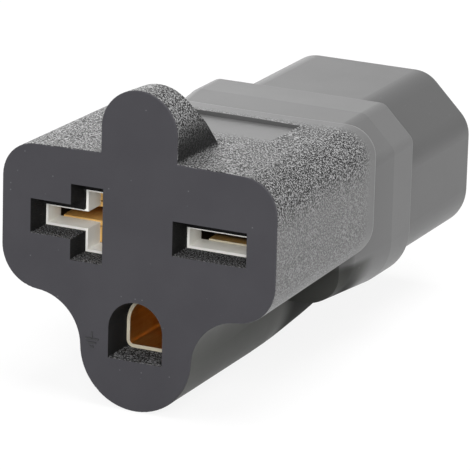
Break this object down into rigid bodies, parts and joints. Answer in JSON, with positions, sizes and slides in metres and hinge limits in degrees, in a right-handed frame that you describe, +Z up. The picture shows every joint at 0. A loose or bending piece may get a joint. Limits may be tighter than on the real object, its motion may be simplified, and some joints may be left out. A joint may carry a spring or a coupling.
{
  "type": "power plug adapter",
  "caption": "In-line power adapter: a moulded grey body with a flat-blade receptacle with a T-slot and a ground socket in front, and a shrouded flat-pin inlet plug behind.",
  "frame": {"origin": "on the receptacle's face, on the line through the two blade slots and midway between them", "axes": "+X to the right of someone who faces the receptacle, +Y back through the body to the inlet plug, +Z up towards the finger tab"},
  "size_m": [0.035, 0.0644, 0.0382],
  "materials": {
    "shell_vinyl": "spark-eroded texture, smooth satin face and inlet",
    "carrier_white": "satin",
    "pin_carrier_black": "satin",
    "contact_brass": "rolled strip",
    "pin_nickel": "nickel plated brass",
    "wire_copper": "bare copper",
    "insulation_white": "satin",
    "insulation_black": "satin",
    "insulation_green": "satin"
  },
  "bodies": {
    "root": {"outer_shell": "shell_vinyl", "contact_carrier": "carrier_white", "carrier_cover": "carrier_white", "straight_slot_contact": "contact_brass", "t_slot_contact": "contact_brass", "ground_contact": "contact_brass", "pin_carrier": "pin_carrier_black", "left_pin": "pin_nickel", "right_pin": "pin_nickel", "earth_pin": "pin_nickel", "left_conductor": "wire_copper", "left_insulation": "insulation_white", "right_conductor": "wire_copper", "right_insulation": "insulation_black", "earth_conductor": "wire_copper", "earth_insulation": "insulation_green"}
  },
  "joints": []
}
